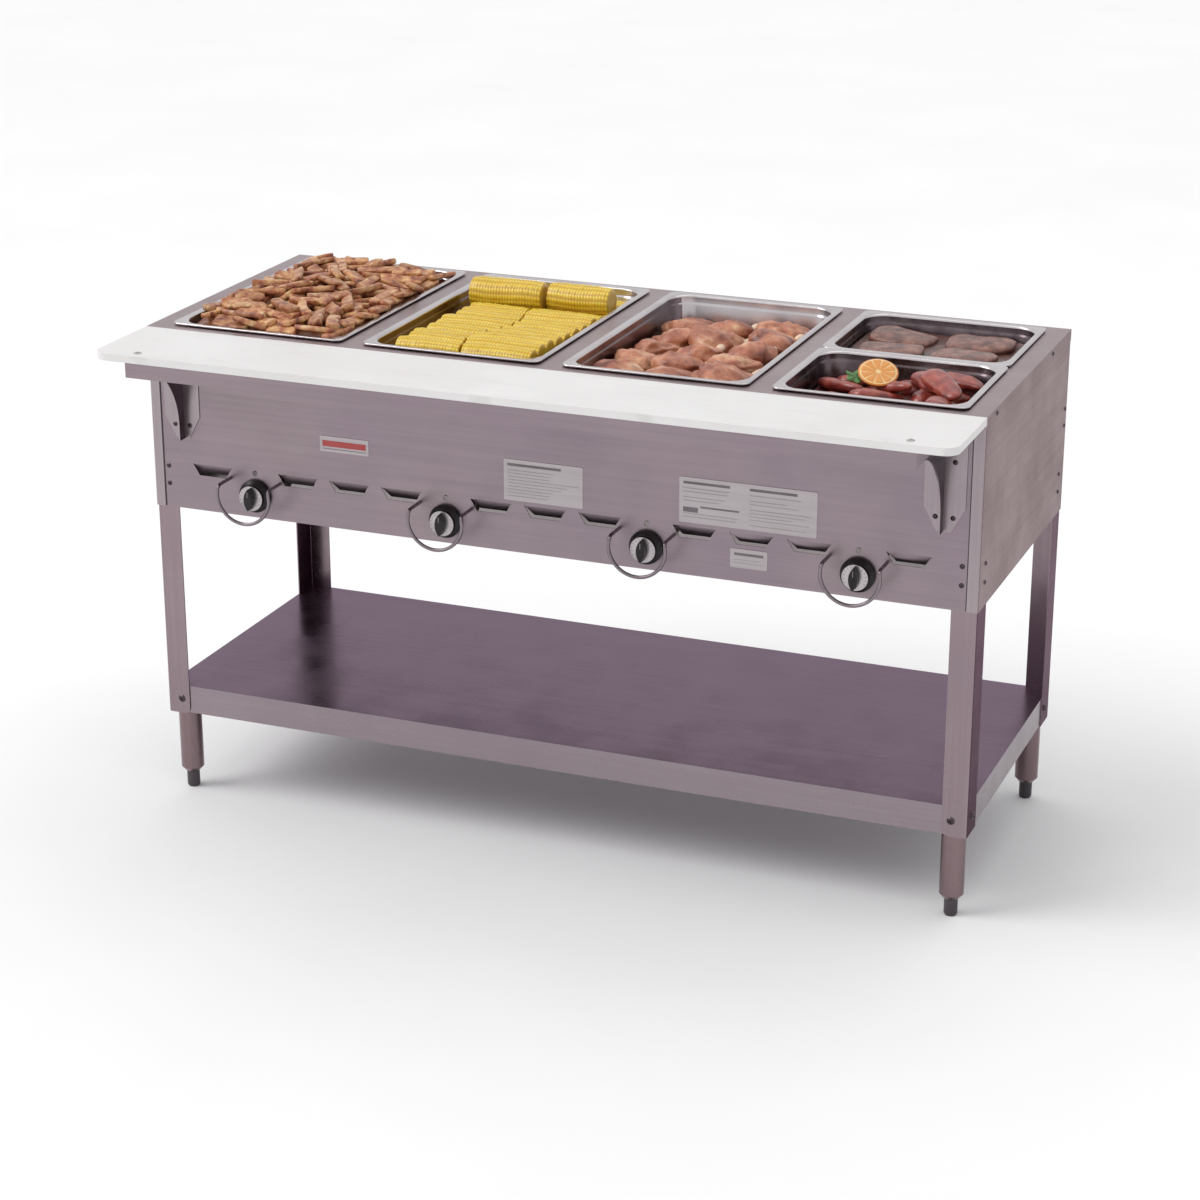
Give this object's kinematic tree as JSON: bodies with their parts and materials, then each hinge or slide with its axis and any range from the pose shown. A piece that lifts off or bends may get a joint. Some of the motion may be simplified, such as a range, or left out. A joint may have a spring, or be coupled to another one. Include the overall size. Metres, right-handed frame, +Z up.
{
  "type": "steam table unit",
  "caption": "Free-standing gas steam table: stainless body with pan wells, front cutting board on a bracketed shelf, guarded control knobs, undershelf and adjustable feet.",
  "frame": {"origin": "on the floor, at the centre of the whole object's footprint", "axes": "+X along the length to the user's right, the front with the knobs faces -Y, +Z up"},
  "size_m": [1.4874, 0.785, 0.905],
  "materials": {
    "stainless": "brushed, long grain",
    "stainless_bright": "bright, nearly mirror",
    "liner_steel": "dull galvanised",
    "pan_steel": "satin",
    "screw_steel": "plain",
    "board_plastic": "matt white polyethylene",
    "knob_plastic": "moulded phenolic",
    "bezel_silver": "satin",
    "foot_plastic": "matt",
    "brass": "machined",
    "iron_pipe": "black pipe",
    "regulator_grey": "painted casting",
    "insulation": "glass wool blanket",
    "label_film": "printed film on a thin plate",
    "food_strips": "moist",
    "food_corn": "moist",
    "food_pieces": "moist",
    "food_red": "glazed",
    "food_brown": "moist"
  },
  "bodies": {
    "root": {"top_deck": "stainless", "front_panel": "stainless", "left_end_panel": "stainless", "right_end_panel": "stainless", "back_panel": "stainless", "leg_front_left": "stainless_bright", "leg_front_right": "stainless_bright", "leg_back_left": "stainless_bright", "leg_back_right": "stainless_bright", "undershelf": "stainless_bright", "foot_tubes": "stainless_bright", "board_shelf": "stainless", "board_bracket_left": "stainless", "board_bracket_right": "stainless", "cutting_board": "board_plastic", "board_screws": "screw_steel", "insulation": "insulation", "gas_manifold": "iron_pipe", "gas_valves": "brass", "pilot_tubes": "screw_steel", "burners": "iron_pipe", "burner_rails": "liner_steel", "pressure_regulator": "regulator_grey", "gas_inlet_pipe": "iron_pipe", "knob_guards": "stainless_bright", "label_plates": "label_film", "panel_screws": "screw_steel", "leg_bolts": "screw_steel", "well_liner_1": "liner_steel", "well_liner_2": "liner_steel", "well_liner_3": "liner_steel", "well_liner_4": "liner_steel"},
    "knob_assembly_1": {"knob_1": "knob_plastic", "knob_bezel_1": "bezel_silver", "valve_stem_1": "screw_steel"},
    "foot_1": {"foot_insert_1": "foot_plastic"},
    "knob_assembly_2": {"knob_2": "knob_plastic", "knob_bezel_2": "bezel_silver", "valve_stem_2": "screw_steel"},
    "foot_2": {"foot_insert_2": "foot_plastic"},
    "knob_assembly_3": {"knob_3": "knob_plastic", "knob_bezel_3": "bezel_silver", "valve_stem_3": "screw_steel"},
    "foot_3": {"foot_insert_3": "foot_plastic"},
    "knob_assembly_4": {"knob_4": "knob_plastic", "knob_bezel_4": "bezel_silver", "valve_stem_4": "screw_steel"},
    "foot_4": {"foot_insert_4": "foot_plastic"},
    "full_pan_1": {"pan_1": "pan_steel", "food_pan_1": "food_strips"},
    "full_pan_2": {"pan_2": "pan_steel", "food_pan_2": "food_corn"},
    "full_pan_3": {"pan_3": "pan_steel", "food_pan_3": "food_pieces"},
    "divider_bar": {"adapter_bar": "pan_steel"},
    "front_half_pan": {"half_pan_front": "pan_steel", "food_half_front": "food_red"},
    "rear_half_pan": {"half_pan_rear": "pan_steel", "food_half_rear": "food_brown"}
  },
  "joints": [
    {"name": "knob_1_turn", "type": "hinge", "parent": "root", "child": "knob_assembly_1", "pos_m": [-0.543, -0.2125, 0.585], "axis": [0, -1, 0], "range_deg": [0, 180]},
    {"name": "knob_2_turn", "type": "hinge", "parent": "root", "child": "knob_assembly_2", "pos_m": [-0.181, -0.2125, 0.585], "axis": [0, -1, 0], "range_deg": [0, 180]},
    {"name": "knob_3_turn", "type": "hinge", "parent": "root", "child": "knob_assembly_3", "pos_m": [0.181, -0.2125, 0.585], "axis": [0, -1, 0], "range_deg": [0, 180]},
    {"name": "knob_4_turn", "type": "hinge", "parent": "root", "child": "knob_assembly_4", "pos_m": [0.543, -0.2125, 0.585], "axis": [0, -1, 0], "range_deg": [0, 180]},
    {"name": "pan_1_lift", "type": "slide", "parent": "root", "child": "full_pan_1", "axis": [0, 0, 1], "range_m": [0, 0.3]},
    {"name": "pan_2_lift", "type": "slide", "parent": "root", "child": "full_pan_2", "axis": [0, 0, 1], "range_m": [0, 0.3]},
    {"name": "pan_3_lift", "type": "slide", "parent": "root", "child": "full_pan_3", "axis": [0, 0, 1], "range_m": [0, 0.3]},
    {"name": "divider_bar_lift", "type": "slide", "parent": "root", "child": "divider_bar", "axis": [0, 0, 1], "range_m": [0, 0.3]},
    {"name": "front_half_pan_lift", "type": "slide", "parent": "divider_bar", "child": "front_half_pan", "axis": [0, 0, 1], "range_m": [0, 0.3]},
    {"name": "rear_half_pan_lift", "type": "slide", "parent": "divider_bar", "child": "rear_half_pan", "axis": [0, 0, 1], "range_m": [0, 0.3]},
    {"name": "foot_1_adjust", "type": "slide", "parent": "root", "child": "foot_1", "axis": [0, 0, -1], "range_m": [0, 0.025]},
    {"name": "foot_2_adjust", "type": "slide", "parent": "root", "child": "foot_2", "axis": [0, 0, -1], "range_m": [0, 0.025]},
    {"name": "foot_3_adjust", "type": "slide", "parent": "root", "child": "foot_3", "axis": [0, 0, -1], "range_m": [0, 0.025]},
    {"name": "foot_4_adjust", "type": "slide", "parent": "root", "child": "foot_4", "axis": [0, 0, -1], "range_m": [0, 0.025]}
  ]
}
